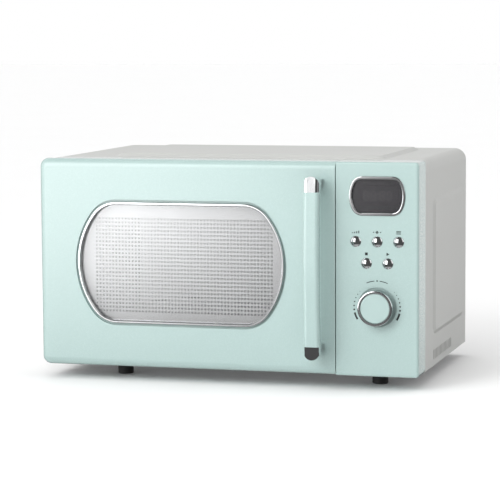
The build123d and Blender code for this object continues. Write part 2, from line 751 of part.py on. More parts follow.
with BuildPart() as inner_window:
    slab((screen_x[0] + pane_edge + piece_gap, screen_x[1] - pane_edge - piece_gap),
         (y_cover, y_cover + pane_thickness),
         (screen_z[0] + pane_edge + piece_gap, screen_z[1] - pane_edge - piece_gap))
save(inner_window, "inner_window")

# ================================================================ handle
handle_mid = (handle_low + handle_high) / 2
grip_back = y_front - handle_reach + handle_bow + handle_thickness


def handle_profile():
    """The handle's side outline, a bar bowed away from the door."""
    end = y_front - handle_reach + handle_bow
    with BuildSketch(Plane.YZ.offset(handle_x)) as outline:
        with BuildLine():
            outer = ThreePointArc((end, handle_low), (end - handle_bow, handle_mid), (end, handle_high))
            top = Line(outer @ 1, (end + handle_thickness, handle_high))
            inner = ThreePointArc(top @ 1, (end - handle_bow + handle_thickness, handle_mid),
                                  (end + handle_thickness, handle_low))
            Line(inner @ 1, outer @ 0)
        make_face()
    return outline.sketch


with BuildPart() as handle_bar:
    extrude(handle_profile(), amount=handle_width / 2, both=True)
    fillet(handle_bar.edges().filter_by(GeomType.CIRCLE).group_by(Axis.Y)[0], radius=handle_round)
    fillet(handle_bar.edges().filter_by(GeomType.CIRCLE).group_by(Axis.Y)[-1], radius=1.5)
    slab(around(handle_x, 2 * handle_width), (y_front - 2 * handle_reach, y_front), (cap_low, cap_high),
         Mode.INTERSECT)
save(handle_bar, "handle_bar")

with BuildPart() as handle_caps:
    extrude(handle_profile(), amount=handle_width / 2, both=True)
    fillet(handle_caps.edges().filter_by(GeomType.CIRCLE).group_by(Axis.Y)[0], radius=handle_round)
    with BuildSketch(facing(y_front - 2 * handle_reach)):
        with Locations((handle_x, handle_mid)):
            SlotOverall(handle_high - handle_low, handle_width, rotation=90)
    extrude(amount=-2 * handle_reach, mode=Mode.INTERSECT)
    slab(around(handle_x, 2 * handle_width), (y_front - 2 * handle_reach, y_front), (cap_low, cap_high),
         Mode.SUBTRACT)
    for z in (post_low, post_high):
        slab(around(handle_x, post_width), (grip_back - 2.0, y_front), around(z, post_height))
    for z in (post_low, post_high):
        rod((handle_x, y_front, z), screw_radius - piece_gap, screw_bite, (0, -1, 0), Mode.SUBTRACT)
save(handle_caps, "handle_caps")

with BuildPart() as handle_screws:
    for z in (post_low, post_high):
        rod((handle_x, y_front + door_face, z), screw_head, screw_head_height, (0, 1, 0))
        rod((handle_x, y_front + door_face, z), screw_radius - 2 * piece_gap, door_face + screw_bite - 1.0,
            (0, -1, 0))
save(handle_screws, "handle_screws")

# ================================================================ latch and interlock
with BuildPart() as latch_hook:
    bar_back = y_cover - seat_gap
    slab(around(hook_x, bar_width), (bar_back - bar_depth, bar_back),
         (latch_low - bar_overrun, latch_high + bar_overrun))
    for z in (latch_low, latch_high):
        slab(around(hook_x, hook_thickness), (bar_back - 2.0, y_plate + hook_reach), around(z, hook_height))
        with BuildSketch(Plane.YZ.offset(hook_x)):
            with BuildLine():
                low = z - hook_height / 2
                Polyline((y_plate + hook_reach, low), (y_plate + hook_reach - 3.0, low - hook_tooth),
                         (y_plate + hook_reach - 6.0, low - hook_tooth), (y_plate + hook_reach - 6.0, low),
                         close=True)
            make_face()
        extrude(amount=hook_thickness / 2, both=True)
save(latch_hook, "latch_hook")

spring_low = latch_high + bar_overrun + seat_gap
spring_high = z_top - door_wall
with BuildPart() as latch_spring:
    spring_y = y_cover - seat_gap - bar_depth / 2
    rod((hook_x, spring_y, spring_low), spring_radius, spring_high - spring_low, (0, 0, 1))
    rod((hook_x, spring_y, spring_low - 1.0), spring_radius - spring_wire, spring_high - spring_low + 2.0,
        (0, 0, 1), Mode.SUBTRACT)
save(latch_spring, "latch_spring")

board_right = hook_x + switch_width / 2 + 3.0
board_back_y = y_plate + hook_reach + switch_length + 8.0
plunger_front = y_plate + hook_reach + seat_gap
switch_front = plunger_front + 5.0
with BuildPart() as latch_board:
    board_z = (latch_low - board_overrun, latch_high + board_overrun)
    slab((bay_left, bay_left + board_wall), (cavity_start, board_back_y), board_z)
    slab((bay_left, board_right), (cavity_start, cavity_start + board_wall), board_z)
    for z in (latch_low, latch_high):
        shelf = z - switch_height / 2
        slab((bay_left, board_right), (switch_front, board_back_y), (shelf - board_wall, shelf))
        slab((bay_left, hook_slot_x[0] - 1.0), (cavity_start, board_back_y), (shelf - board_wall, shelf))
        slab(hook_slot_x, (y_plate, cavity_start + 2 * board_wall), hook_slot_z(z), Mode.SUBTRACT)
save(latch_board, "latch_board")

with BuildPart() as interlock_switches:
    for z in (latch_low, latch_high):
        slab(around(hook_x, switch_width), (switch_front, switch_front + switch_length),
             around(z, switch_height))
    fillet(interlock_switches.edges().filter_by(Axis.X), radius=1.0)
    for z in (latch_low, latch_high):
        slab(around(hook_x, plunger_width + 2 * plunger_fit),
             (switch_front - 1.0, plunger_front + plunger_length + plunger_travel + 1.0),
             around(z, plunger_height + 2 * plunger_fit), Mode.SUBTRACT)
save(interlock_switches, "interlock_switches")

for name, z in (("upper_plunger", latch_high), ("lower_plunger", latch_low)):
    with BuildPart() as plunger:
        slab(around(hook_x, plunger_width), (plunger_front, plunger_front + plunger_length),
             around(z, plunger_height))
        fillet(plunger.faces().sort_by(Axis.Y)[0].edges(), radius=0.8)
    save(plunger, name)

with BuildPart() as door_hinges:
    for z, up in ((hinge_plate_z["upper"], -1), (hinge_plate_z["lower"], 1)):
        slab(around(hinge_x, 2 * hinge_half_width), (hinge_y, y_plate), around(z, hinge_plate))
        slab(hinge_tab_x, (y_plate, cavity_start + 1.5), around(z, hinge_plate))
        rod((hinge_x, hinge_y, z - hinge_plate / 2), hinge_half_width, hinge_plate, (0, 0, 1))
        rod((hinge_x, hinge_y, z), hinge_pin, notch_height / 2 + hinge_pin_length - 1.0, (0, 0, up))
        tab = sorted((z - up * hinge_plate / 2, z + up * 22.0))
        slab(hinge_tab_x, (cavity_start, cavity_start + 1.5), tab)
save(door_hinges, "door_hinges")

# ================================================================ control panel
button_spots = {
    "power_button": (knob_x - button_spacing, button_top_z),
    "defrost_button": (knob_x, button_top_z),
    "menu_button": (knob_x + button_spacing, button_top_z),
    "stop_button": (knob_x - button_spacing / 2, button_low_z),
    "start_button": (knob_x + button_spacing / 2, button_low_z),
}
with BuildPart() as control_panel:
    slab((panel_left, x_right), (y_front, y_plate), (z_base, z_top))
    fillet(control_panel.edges().filter_by(Axis.Y).group_by(Axis.X)[-1], radius=panel_round + 1.0)
    fillet(control_panel.faces().sort_by(Axis.Y)[0].edges().sort_by(Axis.X)[1:], radius=panel_round)
    slab((panel_left + panel_wall, x_right - panel_wall), (y_front + panel_face, y_plate + 1.0),
         (z_base + panel_wall, z_top - panel_wall), Mode.SUBTRACT)
    rod((knob_x, y_front + panel_face - 1.0, knob_z), recess_radius + 3.0, recess_depth + 1.0, (0, 1, 0))
    rod((knob_x, y_front - 1.0, knob_z), recess_radius, recess_depth + 1.0, (0, 1, 0), Mode.SUBTRACT)
    rod((knob_x, y_front, knob_z), encoder_bush + piece_gap, 3 * panel_face, (0, 1, 0), Mode.SUBTRACT)
    for x, z in button_spots.values():
        rod((x, y_front - 1.0, z), button_radius + button_gap, 3 * panel_face, (0, 1, 0), Mode.SUBTRACT)
    with BuildSketch(facing(y_front - 1.0)):
        with Locations((display_x, display_z)):
            Barrel(display_width, display_height, display_bulge, display_corner)
    extrude(amount=-3 * panel_face, mode=Mode.SUBTRACT)
save(control_panel, "control_panel")

with BuildPart() as display_trim:
    with BuildSketch(facing(y_front - display_trim_proud)):
        with Locations((display_x, display_z)):
            Barrel(display_width, display_height, display_bulge, display_corner, piece_gap)
            Barrel(display_width, display_height, display_bulge, display_corner, display_trim_width,
                   Mode.SUBTRACT)
    extrude(amount=-(display_trim_proud + 6.0))
    fillet(display_trim.faces().sort_by(Axis.Y)[0].edges(), radius=0.9)
save(display_trim, "display_trim")

with BuildPart() as display_lens:
    with BuildSketch(facing(y_front + 1.2)):
        with Locations((display_x, display_z)):
            Barrel(display_width, display_height, display_bulge, display_corner,
                   display_trim_width + piece_gap)
    extrude(amount=-2.0)
save(display_lens, "display_lens")

module_width = 46.0
module_height = 22.0
digit_pitch = 9.5
with BuildPart() as display_module:
    slab(around(display_x, module_width), (y_front + 3.5, y_board), around(display_z, module_height))
    slab(around(display_x, module_width - 4.0), (y_front + 3.0, y_front + 4.5),
         around(display_z, module_height - 4.0), Mode.SUBTRACT)
    for step in (-1.5, -0.5, 0.5, 1.5):
        slab(around(display_x + step * digit_pitch, 6.0), (y_front + 4.0, y_front + 5.0),
             around(display_z, 11.0))
save(display_module, "display_module")

button_back = y_board - tact_height - button_travel - seat_gap
with BuildPart() as control_board:
    slab((panel_left + 6.0, x_right - 6.0), (y_board, y_board + board_thickness),
         (z_base + 40.0, z_top - 10.0))
    for x, z in button_spots.values():
        slab(around(x, 6.0), (y_board - tact_height, y_board), around(z, 6.0))
    slab(around(knob_x, 30.0), (y_board + board_thickness, y_board + 12.0), around(display_z, 24.0))
    for step in (-1, 0, 1):
        rod((knob_x + 22.0 * step, y_board + board_thickness, knob_z - 4.0), 6.0, 14.0, (0, 1, 0))
    for x in (panel_left + 10.0, x_right - 10.0):
        for z in (z_base + 46.0, z_top - 16.0):
            rod((x, y_front + panel_face, z), 3.0, board_back - panel_face + 0.5, (0, 1, 0))
save(control_board, "control_board")

bush_front = y_front + recess_depth + 1.5
with BuildPart() as rotary_encoder:
    slab(around(knob_x, encoder_size), (y_board - encoder_depth, y_board), around(knob_z, encoder_size))
    rod((knob_x, bush_front, knob_z), encoder_bush, y_board - encoder_depth - bush_front, (0, 1, 0))
    rod((knob_x, bush_front - 1.0, knob_z), encoder_shaft_radius + pin_fit, y_board - 2.0 - bush_front,
        (0, 1, 0), Mode.SUBTRACT)
save(rotary_encoder, "rotary_encoder")

knob_front = y_front - knob_proud
shaft_tip = knob_front + 5.0
with BuildPart() as encoder_shaft:
    rod((knob_x, shaft_tip, knob_z), encoder_shaft_radius, y_board - 4.0 - shaft_tip, (0, 1, 0))
save(encoder_shaft, "encoder_shaft")

knob_back = y_front + recess_depth - 0.6
cap_radius = knob_radius - knob_rim_width
with BuildPart() as knob:
    rod((knob_x, knob_front + 1.0, knob_z), cap_radius, 4.5, (0, 1, 0))
    fillet(knob.faces().sort_by(Axis.Y)[0].edges(), radius=1.5)
    rod((knob_x, knob_front + 1.0, knob_z), 6.0, knob_back - knob_front - 1.0, (0, 1, 0))
    rod((knob_x, shaft_tip, knob_z), encoder_shaft_radius, 2 * knob_proud, (0, 1, 0), Mode.SUBTRACT)
save(knob, "knob")

with BuildPart() as knob_rim:
    rod((knob_x, knob_front, knob_z), knob_radius, knob_back - knob_front, (0, 1, 0))
    fillet(knob_rim.faces().sort_by(Axis.Y)[0].edges(), radius=1.4)
    rod((knob_x, knob_front - 1.0, knob_z), cap_radius + pin_fit, knob_back - knob_front + 2.0, (0, 1, 0),
        Mode.SUBTRACT)
save(knob_rim, "knob_rim")

dome_radius = (button_radius ** 2 + button_proud ** 2) / (2 * button_proud)
dome_turn = math.asin(button_radius / dome_radius) / 2
dome_middle = (dome_radius * math.sin(dome_turn), dome_radius * (1 - math.cos(dome_turn)) - button_proud)
for name, (x, z) in button_spots.items():
    with BuildPart() as button:
        flange_front = y_front + panel_face + seat_gap
        with BuildSketch(Plane((x, y_front, z), x_dir=(1, 0, 0), z_dir=(0, 0, 1))):
            with BuildLine():
                dome = ThreePointArc((0, -button_proud), dome_middle, (button_radius, 0))
                Polyline(dome @ 1, (button_radius, panel_face + seat_gap + button_flange),
                         (0, panel_face + seat_gap + button_flange), dome @ 0)
            make_face()
        revolve(axis=Axis((x, y_front, z), (0, 1, 0)))
        rod((x, flange_front, z), button_radius + 1.5, button_flange, (0, 1, 0))
        rod((x, flange_front, z), 2.5, button_back - flange_front, (0, 1, 0))
    save(button, name)

# ================================================================ component bay
mount_x = bay_left + guide_depth
with BuildPart() as magnetron:
    yoke_x = (mount_x, mount_x + yoke[0])
    slab(yoke_x, around(magnetron_y, yoke[1]), around(magnetron_z, yoke[2]))
    slab((yoke_x[0] + yoke_wall, yoke_x[1] - yoke_wall), around(magnetron_y, yoke[1] + 2.0),
         around(magnetron_z, yoke[2] - 2 * yoke_wall), Mode.SUBTRACT)
    rod((yoke_x[0], magnetron_y, magnetron_z), anode_radius, yoke[0], (1, 0, 0))
    for step in range(fin_count):
        x = yoke_x[0] + yoke[0] * (step + 1) / (fin_count + 1)
        slab(around(x, fin_sheet), around(magnetron_y, yoke[1] - 10.0), around(magnetron_z, yoke[2] - 2.0))
    slab((yoke_x[1], yoke_x[1] + filter_box[0]), around(magnetron_y, filter_box[1]),
         around(magnetron_z, filter_box[2]))
    rod((yoke_x[0], magnetron_y, magnetron_z), antenna_radius, antenna_reach, (-1, 0, 0))
save(magnetron, "magnetron")

with BuildPart() as transformer_core:
    core_low = z_base + sheet
    core_z = (core_low, core_low + core[2])
    slab(around(core_x, core[0]), around(core_y, core[1]), core_z)
    for side in (-1, 1):
        hole = core[0] / 2 - core_leg / 2 - core_frame
        hole_mid = core_x + side * (core_leg + hole) / 2
        slab(around(hole_mid, hole), around(core_y, core[1] + 2.0),
             (core_z[0] + core_frame, core_z[1] - core_frame), Mode.SUBTRACT)
save(transformer_core, "transformer_core")

with BuildPart() as transformer_windings:
    coil_gap = (core[2] - 2 * core_frame - 2 * coil_height) / 3
    for step in range(2):
        z_low = core_z[0] + core_frame + coil_gap + step * (coil_height + coil_gap)
        inner = (core_leg + 2 * seat_gap, core[1] + 2 * seat_gap)
        slab(around(core_x, inner[0] + 2 * coil_thickness), around(core_y, inner[1] + 2 * coil_thickness),
             (z_low, z_low + coil_height))
    fillet(transformer_windings.edges().filter_by(Axis.Z), radius=6.0)
    slab(around(core_x, inner[0]), around(core_y, inner[1]), (core_z[0], core_z[1]), Mode.SUBTRACT)
save(transformer_windings, "transformer_windings")

can_z = z_base + sheet + clamp_sheet + can_height / 2
with BuildPart() as capacitor:
    with BuildSketch(facing(can_y - can_length / 2)):
        with Locations((can_x, can_z)):
            SlotOverall(can_width, can_height)
    extrude(amount=-can_length)
    for step in (-1, 1):
        slab(around(can_x + step * 10.0, 6.0), (can_y - can_length / 2 - 9.0, can_y - can_length / 2),
             around(can_z, 1.0))
save(capacitor, "capacitor")

with BuildPart() as capacitor_clamp:
    with BuildSketch(facing(can_y - clamp_width / 2)):
        with Locations((can_x, can_z)):
            SlotOverall(can_width + 2 * clamp_sheet, can_height + 2 * clamp_sheet)
            SlotOverall(can_width + 0.2, can_height + 0.2, mode=Mode.SUBTRACT)
    extrude(amount=-clamp_width)
    slab((can_x + can_width / 2 - 10.0, can_x + can_width / 2 + 14.0), around(can_y, clamp_width),
         (z_base + sheet, z_base + sheet + clamp_sheet))
save(capacitor_clamp, "capacitor_clamp")

shroud_y = (y_back_panel - shroud_depth, y_back_panel)
with BuildPart() as fan_shroud:
    slab((shroud_left, shroud_right), shroud_y, (shroud_low, shroud_high))
    slab((shroud_left + shroud_wall, shroud_right - shroud_wall),
         (shroud_y[0] + shroud_wall, shroud_y[1] + 1.0),
         (shroud_low + shroud_wall, shroud_high - shroud_wall), Mode.SUBTRACT)
    rod((fan_x, shroud_y[0], fan_z), fan_radius + fan_gap + shroud_wall, fan_depth, (0, 1, 0))
    rod((fan_x, shroud_y[0] - 1.0, fan_z), fan_radius + fan_gap, shroud_depth, (0, 1, 0), Mode.SUBTRACT)
save(fan_shroud, "fan_shroud")

with BuildPart() as fan_motor:
    motor_y = (y_back_panel - fan_motor_size[1], y_back_panel)
    slab(around(fan_x, fan_motor_size[0]), (motor_y[0], motor_y[0] + 12.0), around(fan_z, fan_motor_size[2]))
    rod((fan_x, motor_y[0] - 4.0, fan_z), 9.0, fan_motor_size[1] + 4.0, (0, 1, 0))
    slab((shroud_left + shroud_wall, shroud_right - shroud_wall), (motor_y[1] - 3.0, motor_y[1]),
         around(fan_z, 12.0))
    rod((fan_x, motor_y[0] - 5.0, fan_z), fan_shaft + pin_fit, 20.0, (0, 1, 0), Mode.SUBTRACT)
save(fan_motor, "fan_motor")

with BuildPart() as fan_blade:
    blade_y = shroud_y[0] + 1.0
    rod((fan_x, blade_y, fan_z), fan_hub, fan_depth, (0, 1, 0))
    fillet(fan_blade.faces().sort_by(Axis.Y)[0].edges(), radius=4.0)
    for step in range(fan_blades):
        hub = Location((fan_x, blade_y + fan_depth / 2, fan_z))
        turn = Location((0, 0, 0), (0, 360.0 * step / fan_blades, 0))
        with Locations(hub * turn * Location((fan_hub - 2.0, 0, 0), (fan_pitch, 0, 0))):
            Box(fan_radius - fan_hub, 1.6, 22.0, align=(Align.MIN, Align.CENTER, Align.CENTER))
    rod((fan_x, blade_y, fan_z), fan_radius, fan_depth, (0, 1, 0), Mode.INTERSECT)
    rod((fan_x, blade_y + fan_depth - 1.0, fan_z), fan_shaft, motor_y[0] + 10.0 - blade_y - fan_depth,
        (0, 1, 0))
save(fan_blade, "fan_blade")

duct_wall = 1.5
duct_y = (guide_y[0] - 24.0, guide_y[0])
with BuildPart() as air_duct:
    duct_x = (bay_left, yoke_x[1])
    duct_z = around(magnetron_z, yoke[2] + 4.0)
    slab(duct_x, duct_y, duct_z)
    slab((duct_x[0] - 1.0, duct_x[1] - duct_wall), (duct_y[0] + duct_wall, duct_y[1] + 1.0),
         (duct_z[0] + duct_wall, duct_z[1] - duct_wall), Mode.SUBTRACT)
save(air_duct, "air_duct")

with BuildPart() as oven_lamp:
    rod((bay_left + 2.0, lamp_y, lamp_z), 11.0, 12.0, (1, 0, 0))
    slab((bay_left, bay_left + 2.0), around(lamp_y, 32.0), around(lamp_z, 34.0))
    slab((bay_left, bay_left + 1.0), around(lamp_y, 26.0), around(lamp_z, 26.0), Mode.SUBTRACT)
    rod((bay_left + 14.0, lamp_y, lamp_z), 8.0, 16.0, (1, 0, 0))
save(oven_lamp, "oven_lamp")

cutout_y = y_back - 45.0
cutout_z = z_roof - 20.0
with BuildPart() as thermal_cutout:
    rod((bay_left, cutout_y, cutout_z), 8.0, 9.0, (1, 0, 0))
    slab((bay_left, bay_left + 1.5), around(cutout_y, 26.0), around(cutout_z, 8.0))
save(thermal_cutout, "thermal_cutout")

with BuildPart() as noise_filter_board:
    filter_x = fan_x + 4.0
    y_filter = y_back_panel - filter_standoff
    slab(around(filter_x, filter_width), (y_filter, y_filter + board_thickness),
         around(filter_z, filter_height))
    for x in around(filter_x, filter_width - 12.0):
        for z in around(filter_z, filter_height - 12.0):
            rod((x, y_filter, z), 3.0, y_back_panel - y_filter, (0, 1, 0))
    rod((filter_x - 20.0, y_filter, filter_z), 11.0, 14.0, (0, -1, 0))
    slab(around(filter_x + 4.0, 14.0), (y_filter - 16.0, y_filter), around(filter_z, 22.0))
    slab(around(filter_x + 26.0, 12.0), (y_filter - 12.0, y_filter), around(filter_z, 26.0))
save(noise_filter_board, "noise_filter_board")
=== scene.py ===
import json
import math

import bmesh
import bpy
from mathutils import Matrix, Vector


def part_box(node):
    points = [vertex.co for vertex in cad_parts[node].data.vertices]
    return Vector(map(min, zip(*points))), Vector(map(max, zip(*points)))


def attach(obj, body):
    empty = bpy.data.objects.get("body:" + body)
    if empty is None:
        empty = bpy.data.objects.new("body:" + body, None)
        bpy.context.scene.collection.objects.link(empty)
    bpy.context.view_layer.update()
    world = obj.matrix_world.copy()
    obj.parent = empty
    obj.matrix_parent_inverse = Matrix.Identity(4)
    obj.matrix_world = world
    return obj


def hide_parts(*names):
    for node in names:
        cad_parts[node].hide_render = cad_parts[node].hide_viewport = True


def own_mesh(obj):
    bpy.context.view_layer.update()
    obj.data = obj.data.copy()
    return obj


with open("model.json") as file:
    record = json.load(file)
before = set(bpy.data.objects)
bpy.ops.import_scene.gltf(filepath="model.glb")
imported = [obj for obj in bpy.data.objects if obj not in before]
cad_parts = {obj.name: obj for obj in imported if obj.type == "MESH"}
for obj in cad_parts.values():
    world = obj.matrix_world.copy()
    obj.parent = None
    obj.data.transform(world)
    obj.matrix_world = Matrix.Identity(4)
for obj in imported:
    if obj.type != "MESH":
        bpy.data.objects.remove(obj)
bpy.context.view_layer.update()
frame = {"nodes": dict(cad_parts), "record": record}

MM = 0.001
QUARTER_TURN = math.pi / 2
WELD = 0.00001
SCREEN_PITCH = 4.0 * MM
SCREEN_ROW = 4.5 * MM
SCREEN_HOLE_RADIUS = 1.5 * MM
SCREEN_COLUMNS = 54
SCREEN_ROWS = 25
SCREEN_SHIFT = Vector((0.5 * MM, 0, -3.7 * MM))
SPRING_WIRE_RADIUS = 0.4 * MM
SPRING_TURNS = 9
MARK_LIFT = 0.00004
DOT_RING = 26.5
BAR_RING = (25.4, 27.6)
ARC_RING = (29.4, 30.3)
DOTS = ((42.0, 0.42), (32.5, 0.55), (23.0, 0.68), (13.0, 0.82), (3.0, 0.96), (-6.5, 1.10))
SIGN_RISE = 10.8
DIGIT_PLACES = (-13.5, -5.2, 5.2, 13.5)
DIGIT_GAP = 0.1 * MM
BASE_GLOW = 0.08
LEFT_GLOW = 3.8
RIGHT_GLOW = 1.15
REAR_GLOW = 0.7
UNDER_GLOW = 0.35
DEGREES = 180.0 / math.pi


# ---------------------------------------------------------------- bench tools
def clear_selection():
    """Leave no mesh open and nothing selected, ready for a new primitive."""
    if bpy.context.object is not None and bpy.context.object.mode != "OBJECT":
        bpy.ops.object.mode_set(mode="OBJECT")
    bpy.ops.object.select_all(action="DESELECT")


def select_only(*pieces):
    """Select these pieces and make the first one active."""
    clear_selection()
    for piece in pieces:
        piece.select_set(True)
    bpy.context.view_layer.objects.active = pieces[0]


def open_mesh(piece):
    """Enter edit mode on one piece."""
    select_only(piece)
    bpy.ops.object.mode_set(mode="EDIT")


def pick(piece, kind, test):
    """In edit mode, select only the vertices, edges or faces whose middle passes the test."""
    bpy.ops.mesh.select_mode(type=kind)
    bpy.ops.mesh.select_all(action="DESELECT")
    mesh = bmesh.from_edit_mesh(piece.data)
    items = {"VERT": mesh.verts, "EDGE": mesh.edges, "FACE": mesh.faces}[kind]
    for item in items:
        corners = [item] if kind == "VERT" else item.verts
        middle = sum((corner.co for corner in corners), Vector()) / len(corners)
        if test(middle, item):
            item.select_set(True)
    mesh.select_flush_mode()
    bmesh.update_edit_mesh(piece.data)


def close_mesh():
    """Merge doubles, turn the faces outwards and leave edit mode."""
    bpy.ops.mesh.select_all(action="SELECT")
    bpy.ops.mesh.remove_doubles(threshold=WELD)
    bpy.ops.mesh.normals_make_consistent(inside=False)
    bpy.ops.object.mode_set(mode="OBJECT")


def modify(piece, kind, **settings):
    """Add a modifier with these settings and apply it."""
    select_only(piece)
    modifier = piece.modifiers.new(kind.lower(), kind)
    for key, value in settings.items():
        setattr(modifier, key, value)
    bpy.ops.object.modifier_apply(modifier=modifier.name)


def join(pieces):
    """Join several pieces into the first one."""
    select_only(*pieces)
    bpy.ops.object.join()
    return bpy.context.object


def smooth(piece, degrees=35.0):
    """Shade a piece smooth, with its sharp edges kept."""
    select_only(piece)
    bpy.ops.object.shade_smooth_by_angle(angle=math.radians(degrees))


def fit(piece, name, body, finish, nodes=()):
    """Name a finished piece, settle it at the origin, dress it and hang it on its body."""
    select_only(piece)
    bpy.ops.object.transform_apply(location=True, rotation=True, scale=True)
    piece.name = name
    piece.data.name = name
    piece.data.materials.clear()
    piece.data.materials.append(finish)
    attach(piece, body)
    if nodes:
        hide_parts(*nodes)
    return piece


# ---------------------------------------------------------------- finishes
class Field:
    """A number that changes over a surface: arithmetic on it adds Math nodes."""

    def __init__(self, finish, socket):
        self.finish = finish
        self.socket = socket

    def _maths(self, operation, *values):
        made = self.finish.node("ShaderNodeMath", {"operation": operation}, dict(enumerate(values)))
        return Field(self.finish, made.outputs[0])

    def __add__(self, other):
        return self._maths("ADD", self, other)

    def __sub__(self, other):
        return self._maths("SUBTRACT", self, other)

    def __rsub__(self, other):
        return self._maths("SUBTRACT", other, self)

    def __mul__(self, other):
        return self._maths("MULTIPLY", self, other)

    def __truediv__(self, other):
        return self._maths("DIVIDE", self, other)

    def __gt__(self, other):
        return self._maths("GREATER_THAN", self, other)

    def __lt__(self, other):
        return self._maths("LESS_THAN", self, other)

    __radd__ = __add__
    __rmul__ = __mul__

    def sine(self):
        return self._maths("SINE", self)


class Wiring:
    """A node tree that is filled by the calls below."""

    def __init__(self, tree):
        self.tree = tree
        self.tree.nodes.clear()

    def node(self, kind, settings, sockets):
        made = self.tree.nodes.new(kind)
        for key, value in settings.items():
            setattr(made, key, value)
        for key, value in sockets.items():
            self.feed(made.inputs[key], value)
        return made

    def feed(self, socket, value):
        if isinstance(value, Field):
            self.tree.links.new(value.socket, socket)
        elif isinstance(value, bpy.types.NodeSocket):
            self.tree.links.new(value, socket)
        else:
            socket.default_value = value

    def blend(self, factor, first, second):
        sockets = {0: factor, 6: first, 7: second}
        return self.node("ShaderNodeMix", {"data_type": "RGBA"}, sockets).outputs[2]

    def ramp(self, value, low, high):
        sockets = {"Value": value, "From Min": low, "From Max": high}
        made = self.node("ShaderNodeMapRange", {"interpolation_type": "SMOOTHSTEP"}, sockets)
        return Field(self, made.outputs[0])


class Finish(Wiring):
    """One material: a Principled shader and the nodes that feed it."""

    def __init__(self, name, **constants):
        self.material = bpy.data.materials.new(name)
        self.material.use_nodes = True
        super().__init__(self.material.node_tree)
        self.shader = self.node("ShaderNodeBsdfPrincipled", {}, {})
        out = self.node("ShaderNodeOutputMaterial", {}, {})
        self.tree.links.new(self.shader.outputs[0], out.inputs["Surface"])
        self.place = self.node("ShaderNodeTexCoord", {}, {}).outputs["Object"]
        for key, value in constants.items():
            self.set(key.replace("_", " "), value)

    def set(self, name, value):
        known = {socket.name.lower(): socket for socket in self.shader.inputs}
        self.feed(known[name.lower()], value)

    def stretched(self, stretch):
        return self.node("ShaderNodeMapping", {}, {"Vector": self.place, "Scale": stretch}).outputs[0]

    def noise(self, scale, detail=3.0, stretch=(1.0, 1.0, 1.0)):
        sockets = {"Vector": self.stretched(stretch), "Scale": scale, "Detail": detail}
        return Field(self, self.node("ShaderNodeTexNoise", {}, sockets).outputs[0])

    def cells(self, scale, output="Distance", stretch=(1.0, 1.0, 1.0)):
        sockets = {"Vector": self.stretched(stretch), "Scale": scale}
        return Field(self, self.node("ShaderNodeTexVoronoi", {}, sockets).outputs[output])

    def axis(self, letter):
        return Field(self, self.node("ShaderNodeSeparateXYZ", {}, {0: self.place}).outputs[letter])

    def emboss(self, height, depth):
        sockets = {"Height": height, "Distance": depth}
        self.set("Normal", self.node("ShaderNodeBump", {}, sockets).outputs[0])


def shade(red, green, blue):
    """A linear colour with full alpha."""
    return (red, green, blue, 1.0)


def gloss_mint(name="gloss_mint", roughness=0.24):
    """Moulded mint plastic under a clear gloss, with the faint ripple of a moulded face."""
    paint = Finish(name, coat_weight=1.0, coat_roughness=0.05, ior=1.5)
    drift = paint.noise(7.0, 2.0)
    grain = paint.noise(1400.0, 2.0)
    paint.set("Base Color", paint.blend(drift, shade(0.388, 0.512, 0.494), shade(0.408, 0.532, 0.514)))
    paint.set("Roughness", roughness + grain * 0.06)
    paint.emboss(paint.noise(160.0, 2.0) + grain * 0.25, 0.00003)
    return paint.material


def powder_grey():
    """Light grey powder coat with its fine pebbled skin."""
    paint = Finish("powder_grey", coat_weight=0.12, coat_roughness=0.3)
    pebble = paint.noise(1700.0, 3.0)
    drift = paint.noise(5.0, 2.0)
    paint.set("Base Color", paint.blend(drift, shade(0.480, 0.485, 0.470), shade(0.510, 0.515, 0.500)))
    paint.set("Roughness", 0.36 + pebble * 0.12)
    paint.emboss(pebble, 0.00005)
    return paint.material


def oven_enamel():
    """Pale grey oven enamel with dark and light flecks."""
    paint = Finish("oven_enamel", coat_weight=0.3, coat_roughness=0.15)
    flecks = paint.cells(950.0) < 0.16
    pale = paint.cells(620.0) < 0.12
    ground = paint.blend(paint.noise(9.0), shade(0.46, 0.47, 0.47), shade(0.50, 0.51, 0.51))
    flecked = paint.blend(flecks, ground, shade(0.17, 0.18, 0.19))
    paint.set("Base Color", paint.blend(pale, flecked, shade(0.72, 0.73, 0.73)))
    paint.set("Roughness", 0.32 + paint.noise(500.0) * 0.12)
    paint.emboss(paint.noise(420.0, 3.0), 0.00006)
    return paint.material


def satin_plate():
    """Grey satin paint on pressed steel."""
    paint = Finish("satin_plate")
    grain = paint.noise(1200.0)
    paint.set("Base Color", paint.blend(paint.noise(8.0), shade(0.50, 0.51, 0.50), shade(0.54, 0.55, 0.54)))
    paint.set("Roughness", 0.34 + grain * 0.15)
    paint.emboss(grain, 0.00004)
    return paint.material


def zinc_sheet():
    """Galvanised sheet with its crystal spangle and rolling marks."""
    paint = Finish("zinc_sheet", metallic=1.0)
    spangle = paint.cells(130.0, "Color")
    rolled = paint.noise(300.0, 2.0, (1.0, 0.06, 1.0))
    paint.set("Base Color", paint.blend(spangle, shade(0.66, 0.67, 0.68), shade(0.78, 0.79, 0.79)))
    paint.set("Roughness", 0.28 + rolled * 0.2)
    paint.emboss(rolled, 0.00003)
    return paint.material


def polished_chrome():
    """Bright chrome plate with the faintest polishing haze."""
    paint = Finish("polished_chrome", metallic=1.0)
    haze = paint.noise(60.0, 4.0)
    paint.set("Base Color", paint.blend(haze, shade(0.80, 0.81, 0.82), shade(0.86, 0.87, 0.88)))
    paint.set("Roughness", 0.05 + haze * 0.05)
    paint.emboss(paint.noise(300.0, 2.0), 0.000004)
    return paint.material


